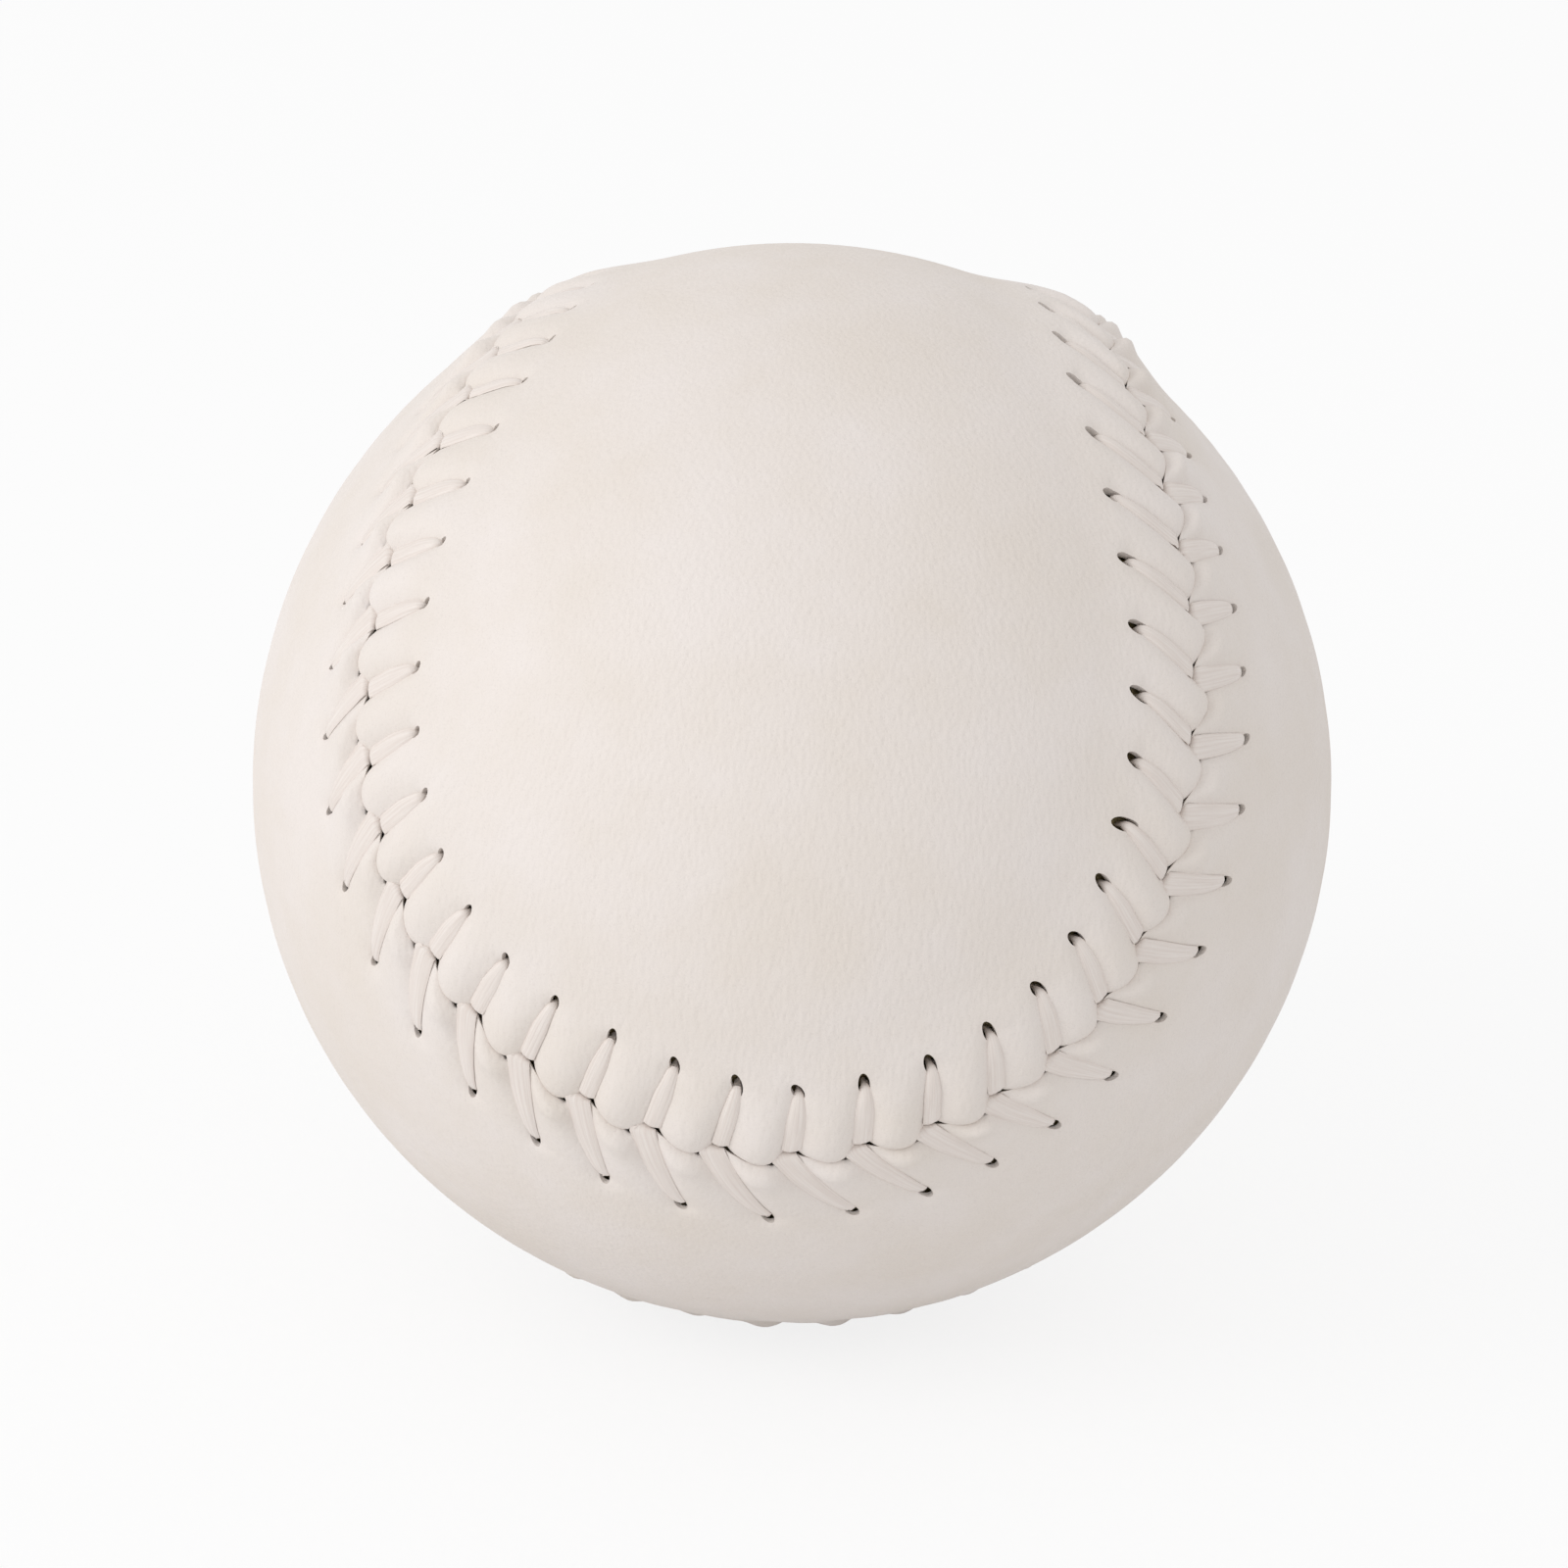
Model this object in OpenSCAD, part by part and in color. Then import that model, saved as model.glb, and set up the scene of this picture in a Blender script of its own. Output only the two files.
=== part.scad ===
// A 12-inch softball: a cork and rubber core, two wound layers, a latex skin, and a cover of two
// figure-eight leather panels laced together by two flat waxed threads.
// The seam is one closed curve on the ball. Everything along it is placed by three numbers:
// how many stitches along it, how far to its side, and how high above the smooth ball.

/* [Ball] */
// Diameter of the smooth leather, away from the seam
ball_d = 97; // [90:0.5:104]
// Lean of the seam about X, as the ball lies
lean = 45; // [44:0.25:46]

/* [Seam] */
// Half the width of a panel at its waist, as an angle at the middle of the ball
waist = 26.9; // [25:0.1:29]
// How far the seam sways sideways between its bends, as an angle
sway = 20.6; // [18:0.2:23]
// Stitches on each panel, in fours
stitches = 88; // [80:4:92]
// Where the first stitch lies, in stitches along the seam
first_stitch = 0.33; // [0:0.01:1]

/* [Cover] */
// Thickness of the leather
cover_t = 1.4; // [1.2:0.05:1.8]
// Thickness of the leather where it is pared down along the seam
pared_t = 0.9; // [0.75:0.05:1]
// Distance from the seam to the stitch holes of the front panel
front_row = 6.3; // [5.6:0.1:7.4]
// Distance from the seam to the stitch holes of the back panel
back_row = 7.8; // [6.8:0.1:8.4]
// Diameter of a stitch hole
hole_d = 1.4; // [1.3:0.05:1.6]
// Gap between the two lips, halfway between stitches
lip_gap = 0.24; // [0.1:0.02:0.4]
// Gap between the two lips where the threads dive
dive_gap = 1; // [0.9:0.05:1.2]
// How far the front panel's lip bulges over the seam, halfway between stitches
scallop = 1.1; // [0:0.1:1.4]

/* [Puffed seam] */
// Height of the puffs over the smooth ball
puff_h = 1.35; // [1:0.05:1.6]
// Height of the grooves at the lips, where the thread lies between two puffs
groove_h = 0.6; // [0.4:0.05:0.8]
// Distance from the seam to where the puffs have died away
puff_w = 11; // [10:0.1:12.5]
// Distance from the seam to the tops of the puffs
puff_top = 1.6; // [1.2:0.1:2]

/* [Thread] */
// Width of the flat thread at the middle of a stitch
thread_w = 1.6; // [1.2:0.05:1.8]
// Width of the thread where it is gathered, in a hole or between the lips
gathered_w = 0.8; // [0.6:0.05:0.85]
// Thickness of the thread
thread_t = 0.5; // [0.4:0.02:0.54]
// Clearance of the thread over the leather
thread_gap = 0.12; // [0.08:0.01:0.2]
// Distance between the two threads where they dive side by side, in stitches
foot_split = 0.19; // [0.18:0.01:0.2]
// Depth of the hidden thread under the smooth ball, between the lips
deep_at_lips = 0.75; // [0.7:0.01:0.8]
// Depth of the hidden thread under the smooth ball, at a stitch hole
deep_at_hole = 1.15; // [1.1:0.01:1.2]

/* [Inside] */
// Diameter of the cork and rubber core
core_d = 48; // [40:1:56]
// Thickness of the outer winding; the inner winding fills what is left round the core
outer_winding_t = 6; // [3:0.25:9]
// Thickness of the latex skin
latex_t = 0.5; // [0.3:0.05:0.8]
// Clearance between one layer and the next
layer_gap = 0.05; // [0.03:0.01:0.08]
// Clearance of the cover over the latex skin
cover_gap = 0.32; // [0.3:0.01:0.4]

/* [Hidden] */

ball_r = ball_d / 2;
latex_r = ball_r - cover_t - cover_gap;
outer_winding_r = latex_r - latex_t - layer_gap;
inner_winding_r = outer_winding_r - outer_winding_t - layer_gap;

front = 1;
back = -1;

// The seam: a direction from the middle of the ball, for an angle t that runs twice round, 0 to 720
seam_turns = 720;
function unit(v) = v / norm(v);
function seam_dir(t) =
    let (from_pole = 90 - (90 - waist) * cos(t), round_pole = t / 2 + sway * sin(2 * t))
    [sin(from_pole) * cos(round_pole), sin(from_pole) * sin(round_pole), cos(from_pole)];

// Length along the seam against t, so that the stitches can be spread evenly
arc_steps = 720;
arc_step = seam_turns / arc_steps;
arc_table = [
    for (i = 0, s = 0;
         i <= arc_steps;
         s = s + norm(seam_dir((i + 1) * arc_step) - seam_dir(i * arc_step)), i = i + 1)
    [s, i * arc_step]
];
arc_total = arc_table[arc_steps][0];
pitch = arc_total * ball_r / stitches;

function wrapped(n, count) = n - count * floor(n / count);
function even_t(n) = lookup(wrapped(n + first_stitch, stitches) / stitches * arc_total, arc_table);

// The stitches are spread almost evenly: where the seam bends, their feet are pulled after the holes
foot_pull = 0.13;
function seam_t(n) = even_t(n - foot_pull * sin(even_t(n)));

// Seam frame at stitch n: outwards, along the seam, and to the front panel's side
along_step = 0.1;
function seam_along(t) = unit(seam_dir(t + along_step) - seam_dir(t - along_step));

// The point n stitches along the seam, d to the front panel's side of it and h over the smooth ball
function seam_point(n, d, h) =
    let (t = seam_t(n), out = seam_dir(t), side = cross(out, seam_along(t)), a = d / ball_r * 180 / PI)
    (ball_r + h) * (cos(a) * out + sin(a) * side);

// Stitch pattern, in stitches. The foot of a stitch is where its thread dives between the lips.
// The holes are spaced evenly on each flat panel, so on the ball they run ahead of the feet and fall
// behind as the seam bends. A lead is a mean, and shares of sin(t), cos(t) and cos(2t).
front_lead = [0.38, -0.4, 0.28, 0.15];
back_lead = [0.57, 0.13, 0, 0.15];
function row(side) = side == front ? front_row : back_row;
function foot(side) = side * foot_split / 2;
function hole_lead(side, n) =
    let (t = seam_t(n), lead = side == front ? front_lead : back_lead)
    lead * [1, sin(t), cos(t), cos(2 * t)];
function leg_lead(side, n, d) = foot(side) + (hole_lead(side, n) - foot(side)) * min(1, d / row(side));

// Height of the leather over the smooth ball, along a groove and along the crest of a puff
hole_h = 0.1;
puff_shape = 1.4;
function groove_height(side, d) = hole_h + (groove_h - hole_h) * max(0, 1 - d / row(side));
function puff_height(d) =
    puff_h * pow(cos(90 * min(1, max(0, d - puff_top) / (puff_w - puff_top))), puff_shape);

// Rings of a panel, from the lip inwards over the leather. Each stitch has three columns:
// the two edges of its groove and the crest of the puff that follows.
columns = 3;
crest_column = 2;
groove_half = [0.2, 0.2, 0.18, 0.16, 0.14];
lip_roll = 0.45;
function ring_d(side) = [0, 0, puff_top, row(side) * 0.55, row(side)];
function lip_d(side, c) = c == crest_column ? lip_gap / 2 - side * scallop : dive_gap / 2;
function ring_point(side, ring, i) =
    let (c = i % columns,
         n = floor(i / columns),
         on_crest = c == crest_column,
         d = ring < 2 ? lip_d(side, c) : ring_d(side)[ring],
         phase = on_crest ? 0.5 : (c == 0 ? -1 : 1) * groove_half[ring],
         lead = ring < 2 ? 0 : leg_lead(side, n + (on_crest ? 0.5 : 0), d),
         top = !on_crest ? groove_height(side, d) : ring < 2 ? puff_h - lip_roll : puff_height(d),
         h = ring == 0 ? top - pared_t : top)
    seam_point(n + phase + lead, side * d, h);

// Past the holes one point to a stitch is enough
function behind_hole(side, n, past, h) = seam_point(n + hole_lead(side, n), side * (row(side) + past), h);
faded_past = 1.9;
faded_share = 0.5;
pared_past = 1.9;
pared_depth = 0.72;
smooth_past = 3.9;

// The smooth middle of a panel: ribs run across it between points of its innermost ring.
// The tips of one panel lie a quarter of the way round the seam from the other panel's.
ribs_across = 7;
function tip(side) = side == front ? stitches / 4 : 0;
function rib_point(side, k, j, h) =
    let (a = behind_hole(side, tip(side) + k, smooth_past, h),
         b = behind_hole(side, tip(side) - k, smooth_past, h))
    (ball_r + h) * unit(a + (b - a) * j / ribs_across);

// Vertices in order: the fine rings, the faded and the pared ring, then for each face the ring
// round its smooth middle, and at last the ribs of each face
fine = stitches * columns;
fine_rings = 5;
half = stitches / 2;
faded_ring = fine * fine_rings;
pared_ring = faded_ring + stitches;
outer_ring = pared_ring + stitches;
inner_ring = outer_ring + stitches;
ribs_inside = ribs_across - 1;
outer_ribs = inner_ring + stitches;
inner_ribs = outer_ribs + (half - 1) * ribs_inside;

function panel_points(side) = concat(
    [for (ring = [0 : fine_rings - 1]) for (i = [0 : fine - 1]) ring_point(side, ring, i)],
    [for (n = [0 : stitches - 1])
        behind_hole(side, n, faded_past, faded_share * puff_height(row(side) + faded_past))],
    [for (n = [0 : stitches - 1]) behind_hole(side, n, pared_past, -pared_depth)],
    [for (n = [0 : stitches - 1]) behind_hole(side, n, smooth_past, 0)],
    [for (n = [0 : stitches - 1]) behind_hole(side, n, smooth_past, -cover_t)],
    [for (k = [1 : half - 1]) for (j = [1 : ribs_inside]) rib_point(side, k, j, 0)],
    [for (k = [1 : half - 1]) for (j = [1 : ribs_inside]) rib_point(side, k, j, -cover_t)]
);

function fine_at(ring, i) = ring * fine + i % fine;
function coarse_at(start, n) = start + wrapped(n, stitches);
// Two triangles for a four-sided cell, seen from outside its own face
function cell(a, b, c, d) = [[a, b, c], [a, c, d]];

// Strip between two fine rings, and strip from a fine ring to a coarse one
function fine_strip(low, high) =
    [for (i = [0 : fine - 1])
        each cell(fine_at(low, i), fine_at(low, i + 1), fine_at(high, i + 1), fine_at(high, i))];
function step_strip(ring, start) =
    [for (n = [0 : stitches - 1])
        each [
            for (c = [0 : columns - 1])
                [fine_at(ring, n * columns + c), fine_at(ring, n * columns + c + 1), coarse_at(start, n)],
            [fine_at(ring, n * columns + columns), coarse_at(start, n + 1), coarse_at(start, n)]
        ]];
function coarse_strip(start, next) =
    [for (n = [0 : stitches - 1])
        each cell(coarse_at(start, n), coarse_at(start, n + 1), coarse_at(next, n + 1), coarse_at(next, n))];

// Smooth middle: point j of rib k, whose ends are points of the coarse ring
function rib_at(side, start, ribs, k, j) =
    k == 0 || j == 0 ? coarse_at(start, tip(side) + k)
    : k == half || j == ribs_across ? coarse_at(start, tip(side) - k)
    : ribs + (k - 1) * ribs_inside + j - 1;
function middle(side, start, ribs) =
    [for (k = [0 : half - 1]) for (j = [0 : ribs_across - 1])
        let (a = rib_at(side, start, ribs, k, j), b = rib_at(side, start, ribs, k + 1, j),
             c = rib_at(side, start, ribs, k + 1, j + 1), d = rib_at(side, start, ribs, k, j + 1))
        each [
            if (a != b && b != c && a != c) [a, b, c],
            if (a != c && c != d && a != d) [a, c, d]
        ]];

function flipped(faces) = [for (f = faces) [f[2], f[1], f[0]]];
function panel_faces(side) =
    let (outside = concat(
             [for (ring = [0 : fine_rings - 2]) each fine_strip(ring, ring + 1)],
             step_strip(fine_rings - 1, faded_ring),
             coarse_strip(faded_ring, outer_ring),
             middle(side, outer_ring, outer_ribs)),
         inside = concat(
             step_strip(0, pared_ring),
             coarse_strip(pared_ring, inner_ring),
             middle(side, inner_ring, inner_ribs)),
         all = concat(outside, flipped(inside)))
    side == front ? flipped(all) : all;

// A frame standing on the ball at a point of the seam, its Z outwards
module standing_at(p) {
    rotate([0, acos(p[2] / norm(p)), atan2(p[1], p[0])]) children();
}

module cover_panel(side) {
    drill = cover_t + puff_h;
    difference() {
        polyhedron(panel_points(side), panel_faces(side), convexity = 8);
        for (n = [0 : stitches - 1]) {
            standing_at(seam_point(n + hole_lead(side, n), side * row(side), 0))
                translate([0, 0, latex_r])
                    cylinder(h = drill, d = hole_d, $fn = 16);
        }
    }
}

// One thread: five rings to a stitch, from under its hole, out and over the leather in its groove,
// down between the lips and on under the other panel to the hole one stitch back
stations = 5;
function station(side, n, k) =
    let (over = thread_gap + thread_t / 2, middle_d = row(side) * 0.5, lead = hole_lead(side, n))
    k == 0 ? seam_point(n + lead, side * row(side), -deep_at_hole)
    : k == 1 ? seam_point(n + lead, side * row(side), hole_h + over)
    : k == 2 ? seam_point(n + leg_lead(side, n, middle_d), side * middle_d,
                          groove_height(side, middle_d) + over)
    : k == 3 ? seam_point(n + foot(side), 0, groove_h + over)
    : seam_point(n + foot(side), 0, -deep_at_lips);
function thread_side(turn, m) = (m + turn) % 2 == 0 ? front : back;
function thread_path(turn) =
    [for (m = [0 : stitches - 1]) for (k = [0 : stations - 1])
        station(thread_side(turn, m), stitches - m, k)];
function ring_corners(path, i) =
    let (count = len(path),
         m = floor(i / stations),
         at = path[i],
         run = unit(path[(i + 1) % count] - at) + unit(at - path[(i + count - 1) % count]),
         ahead = unit(run),
         along = seam_along(seam_t(stitches - m)),
         wide = unit(along - (along * ahead) * ahead),
         high = cross(ahead, wide),
         w = (i % stations == 2 ? thread_w : gathered_w) / 2,
         t = thread_t / 2)
    [at + w * wide + t * high, at - w * wide + t * high,
     at - w * wide - t * high, at + w * wide - t * high];

module thread(turn) {
    path = thread_path(turn);
    count = len(path);
    sides = 4;
    polyhedron(
        [for (i = [0 : count - 1]) each ring_corners(path, i)],
        [for (i = [0 : count - 1]) for (j = [0 : sides - 1])
            let (a = i * sides, b = (i + 1) % count * sides, next = (j + 1) % sides)
            each cell(a + j, b + j, b + next, a + next)],
        convexity = 8);
}

module as_it_lies() {
    rotate([-lean, 0, 0]) children();
}

module core() {
    color("#8a5a3c")
        sphere(d = core_d, $fn = 64);
}

module layer(outer_r, inner_r) {
    difference() {
        sphere(r = outer_r, $fn = 96);
        sphere(r = inner_r, $fn = 96);
    }
}

module inner_winding() {
    color("#a7a39b")
        layer(inner_winding_r, core_d / 2 + layer_gap);
}

module outer_winding() {
    color("#d9d2c3")
        layer(outer_winding_r, inner_winding_r + layer_gap);
}

module latex_skin() {
    color("#c9b98c")
        layer(latex_r, outer_winding_r + layer_gap);
}

module cover_front() {
    color("#e6dfda")
        as_it_lies() cover_panel(front);
}

module cover_back() {
    color("#ddd5cf")
        as_it_lies() cover_panel(back);
}

module thread_first() {
    color("#f2ede4")
        as_it_lies() thread(0);
}

module thread_second() {
    color("#efe9df")
        as_it_lies() thread(1);
}

core();
inner_winding();
outer_winding();
latex_skin();
cover_front();
cover_back();
thread_first();
thread_second();
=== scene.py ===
# %% [markdown]
# # A laced 12-inch softball
# The ball is 97 mm across. Two white leather panels, each cut like a figure eight, are laced together over
# a wound core with two flat waxed threads. What the eye reads as "softball" is the seam: a raised ridge,
# broad flat stitches that run to the holes on both sides, and leather that puffs up between them.
# The script loads the CAD frame first. The core, the windings and the latex skin keep their CAD shape,
# and the leather and the threads are modelled anew, in the places that the CAD gives them.

# %% Load the frame
import math

import bpy
import numpy as np
from mathutils import Matrix, Vector


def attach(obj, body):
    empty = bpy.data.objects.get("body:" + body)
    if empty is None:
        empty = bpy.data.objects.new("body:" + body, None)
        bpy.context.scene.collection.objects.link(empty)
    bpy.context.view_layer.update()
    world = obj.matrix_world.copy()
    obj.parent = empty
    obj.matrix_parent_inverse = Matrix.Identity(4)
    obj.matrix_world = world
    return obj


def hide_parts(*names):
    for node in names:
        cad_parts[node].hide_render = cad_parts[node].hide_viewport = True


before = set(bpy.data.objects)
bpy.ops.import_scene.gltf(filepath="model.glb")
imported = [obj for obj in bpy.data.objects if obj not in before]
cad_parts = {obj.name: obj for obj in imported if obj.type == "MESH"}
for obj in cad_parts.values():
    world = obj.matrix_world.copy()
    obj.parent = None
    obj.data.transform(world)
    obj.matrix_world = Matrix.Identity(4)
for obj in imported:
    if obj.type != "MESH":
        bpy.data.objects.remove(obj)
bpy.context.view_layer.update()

MM = 0.001
print("CAD nodes:", ", ".join(sorted(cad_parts)))

# %% [markdown]
# ## Camera
# The photograph was taken with a long lens, a little above the ball. A long lens flattens the ball and
# shows almost the whole half of it. The camera's place and turn were worked out from the seam's own curve.

# %% Camera
camera_place = Vector((17.82, -533.31, 214.03)) * MM
camera_right = Vector((0.99856919, 0.04497785, 0.02892351))
camera_up = Vector((-0.04357329, 0.37083311, 0.92767676))
camera_back = camera_right.cross(camera_up)

bpy.ops.object.camera_add()
camera = bpy.context.object
camera.name = "photo_camera"
camera.matrix_world = Matrix.Translation(camera_place) @ Matrix(
    (camera_right, camera_up, camera_back)).transposed().to_4x4()
camera.data.sensor_width = 36
camera.data.lens = 146.3
camera.data.shift_x = -0.0051
camera.data.shift_y = -0.001
camera.data.clip_start = 0.01
bpy.context.scene.camera = camera
print("camera is", round(camera_place.length / MM), "mm from the middle of the ball")

# %% [markdown]
# ## The seam's curve
# The seam is one closed curve that swings four times between the poles while it goes round twice. Angle t
# runs once along it. The stitches are spread evenly, so a table of length against t turns a stitch number
# into t. Every later piece is placed with three numbers: n, how many stitches along the seam; d, how far
# to the front panel's side; and h, how high above the smooth ball. Numpy works them out for all points of a
# piece at once.

# %% Seam curve
BALL_R = 48.5  # mm: a 12-inch ball is 97 mm across its smooth leather
LEAN = math.radians(45)  # how far the ball is tipped about X as it lies in the photograph
WAIST = math.radians(26.9)  # half of a panel's waist, seen from the middle of the ball
SWAY = math.radians(20.6)  # how far the seam swings to and fro between the poles
STITCHES = 88
FIRST_STITCH = 0.33  # where stitch 0 lies, in stitches
FOOT_PULL = 0.13  # in stitches: the most that a foot is pulled after its hole
CURVE_POINTS = 1441


def unit(v):
    return v / np.linalg.norm(v, axis=-1, keepdims=True)


def seam_dir(t):
    from_pole = math.pi / 2 - (math.pi / 2 - WAIST) * np.cos(t)
    round_pole = t / 2 + SWAY * np.sin(2 * t)
    return np.stack([np.sin(from_pole) * np.cos(round_pole),
                     np.sin(from_pole) * np.sin(round_pole),
                     np.cos(from_pole)], axis=-1)


ARC_T = np.linspace(0, 4 * math.pi, CURVE_POINTS)
ARC_S = np.concatenate([[0], np.cumsum(np.linalg.norm(np.diff(seam_dir(ARC_T), axis=0), axis=1))])
PITCH = ARC_S[-1] * BALL_R / STITCHES


def even_t(n):
    return np.interp(np.mod((n + FIRST_STITCH) / STITCHES, 1) * ARC_S[-1], ARC_S, ARC_T)


def seam_t(n):
    """Where the seam bends, the feet of the stitches are pulled a little after the holes."""
    return even_t(n - FOOT_PULL * np.sin(even_t(n)))


def seam_along(t):
    step = 0.002
    return unit(seam_dir(t + step) - seam_dir(t - step))


def seam_point(n, d, h):
    """Points n stitches along the seam, d mm to the front panel's side and h mm over the smooth ball."""
    t = seam_t(n)
    out = seam_dir(t)
    side = np.cross(out, seam_along(t))
    angle = (d / BALL_R)[..., None]
    return (BALL_R + h)[..., None] * (np.cos(angle) * out + np.sin(angle) * side)


def as_it_lies(points):
    """Leans the ball about X, as it lies on the floor."""
    x, y, z = points.T
    return np.stack([x, y * math.cos(LEAN) + z * math.sin(LEAN),
                     z * math.cos(LEAN) - y * math.sin(LEAN)], axis=-1)


print(f"seam is {ARC_S[-1] * BALL_R:.1f} mm long, and a stitch {PITCH:.2f} mm")

# %% [markdown]
# ## The lacing
# A stitch has a leg on each panel. It rises from a hole in the leather and runs slanting to its foot, where
# it dives between the two lips. The holes were punched evenly in the flat leather, so on the ball they run
# ahead of the feet in one bend of the seam and fall behind in the next. The front panel's legs are shorter.
# All lengths are in mm, and all leads in stitches.

# %% Lacing pattern
FRONT, BACK = 1, -1
LEAD = {FRONT: (0.38, -0.4, 0.28, 0.15), BACK: (0.57, 0.13, 0, 0.15)}  # a mean, and three shares
FOOT = {FRONT: 0.06, BACK: -0.08}
ROW = {FRONT: 5.45, BACK: 7.84}  # the mean distance from the seam to the holes
ROW_WAVES = {FRONT: ((0.45, 2, -178), (0.65, 7, 0), (0.31, 12, -68)), BACK: ((0.99, 3, 87),)}
LEG_WIDTH = {FRONT: 1.6, BACK: 2.15}
HOLE_WIDTH = {FRONT: 0.9, BACK: 1.05}  # a leg's width where it goes into its hole
FULL_UNTIL = {FRONT: 0.55, BACK: 0.3}  # the share of a leg that keeps its full width
NARROWING = 1.2  # power: 1 narrows the rest of it evenly, and more narrows it late
WANDER = ((0.44, 7, -24), (0.3, 11, 90))
WANDER_REACH = 6  # how far from the seam the leather still follows its wander
DRIFTS = ((44, 4, 3), (86, 4, 1.2))  # the middle and the half of a run in stitches, and mm to the front


def hole_lead(side, n):
    """How far a hole is ahead of its stitch's number: a mean, and shares that follow the seam's bends."""
    t = seam_t(n)
    mean, by_sin, by_cos, by_cos2 = LEAD[side]
    return mean + by_sin * np.sin(t) + by_cos * np.cos(t) + by_cos2 * np.cos(2 * t)


def waves(n, *terms):
    """A sum of cosines round the whole seam, each given as its size, its count and its turn in degrees."""
    return sum(size * np.cos(2 * math.pi * count * n / STITCHES - math.radians(turn))
               for size, count, turn in terms)


def row(side, n):
    """Distance from the seam to the holes. A row pulled tight by hand wanders by a millimetre."""
    return ROW[side] + waves(n, *ROW_WAVES[side])


def leg_lead(side, n, d):
    """How far a leg is ahead of its stitch's number, at d mm from the seam."""
    return FOOT[side] + (hole_lead(side, n) - FOOT[side]) * np.clip(d / row(side, n), 0, 1)


def smooth(x):
    """0 to 1 with no corner at either end."""
    x = np.clip(x, 0, 1)
    return x * x * (3 - 2 * x)


def leg_width(side, n, d):
    """A leg is broadest at the seam, and gathers towards its hole."""
    full_until = FULL_UNTIL[side] * row(side, n)
    gathered = np.clip((d - full_until) / (row(side, n) - full_until), 0, 1) ** NARROWING
    return LEG_WIDTH[side] + (HOLE_WIDTH[side] - LEG_WIDTH[side]) * gathered


def on_run(n, middle, half):
    """1 at the middle of a run of the seam, and fading away to both sides of it. Both are in stitches."""
    away = np.mod(n - middle + STITCHES / 2, STITCHES) - STITCHES / 2
    return np.exp(-(away / half) ** 2)


def on_ball(n, d, h):
    """A seam point, with the wander that the seam's own line has, and its drift on two short runs."""
    wander = waves(n, *WANDER)
    drift = sum(far * on_run(n, middle, half) for middle, half, far in DRIFTS)
    return seam_point(n, d + drift + wander * smooth(1 - np.abs(d) / WANDER_REACH), h)


every_stitch = np.arange(STITCHES)
for side, word in ((FRONT, "front"), (BACK, "back")):
    print(word, "row:", row(side, every_stitch).min().round(2), "to", row(side, every_stitch).max().round(2),
          "mm from the seam, and leads", hole_lead(side, every_stitch).min().round(2), "to",
          hole_lead(side, every_stitch).max().round(2), "stitches")

# %% [markdown]
# ## How the leather puffs
# Along the seam the leather stands up in a ridge that dies away past the holes. Each thread has pressed a
# bed of its own shape into it, and from the thread's edges the leather swells up into a pillow, round at its
# sides and at its tip. The pull of the thread also dimples the leather round each hole. The hand that laced
# the ball wasn't quite even, so each pillow gets its own small share of height and of lean. The ball's
# outline shows more: the ridge is rolled flat in the run that passes under the ball, a little lower at the
# upper left, and proud at the upper right. All heights and widths are in mm.

# %% Height of the leather
CREST_H = 1.3
CREST_W = 11.5
CREST_FALL = 1.2  # power: more makes the ridge narrower
PILLOW_H = {FRONT: 0.86, BACK: 0.82}
PILLOW_ROUND = 2.2  # power: 1 is a straight flank, and more is rounder
BULGE_H = {FRONT: 0, BACK: 0.48}  # the back panel's pillows stand highest a little way from the seam
BULGE_AT = 2.5
BULGE_W = 1.25
FULL_PILLOW = 1.5  # how far from the seam a pillow begins to sink towards the holes
AT_HOLE_SHARE = 0.35  # how much of a pillow's height is left at the holes
PRESS_PAST = 1  # how far past the holes the leather is smooth again
PRESS_FADE = 1.3
DIMPLE_H = 0.3
DIMPLE_PAST = 0.2
BED_ROOM = 0.01
THREAD_T = 0.5
THREAD_EDGE = 1.5  # power: 1 gives the strand an oval section, and more thins its edges
# The middle and the half of a run, in stitches, and the shares by which its ridge and pillows are higher.
UNEVEN_RUNS = ((21.5, 4.5, -0.8, -0.1), (49.5, 2.5, -0.25, -0.15), (84, 3, 0.5, 0))

chance = np.random.default_rng(12)
PILLOW_SHARE = {side: chance.uniform(0.8, 1.12, STITCHES) for side in (FRONT, BACK)}
PILLOW_LEAN = {side: chance.uniform(-0.07, 0.07, STITCHES) for side in (FRONT, BACK)}


def crest(d):
    """Height of the ridge alone, d mm from the seam."""
    return CREST_H * (0.5 + 0.5 * np.cos(math.pi * np.clip(d / CREST_W, 0, 1))) ** CREST_FALL


def bed_half(side, w, d):
    """Half the width of a thread's bed, in stitches."""
    return (leg_width(side, w, d) / 2 + BED_ROOM) / PITCH


def swell(side, w, d):
    """0 at a thread's edge and 1 on the middle of a pillow. w is whole along the middle of each leg."""
    pillow = np.floor(w).astype(int) % STITCHES
    leaning = w + PILLOW_LEAN[side][pillow] * np.sin(math.pi * (w - np.floor(w))) ** 2
    from_leg = np.abs(leaning - np.round(leaning))
    bed = bed_half(side, w, d)
    return 1 - (1 - np.clip((from_leg - bed) / (0.5 - bed), 0, 1)) ** PILLOW_ROUND


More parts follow.
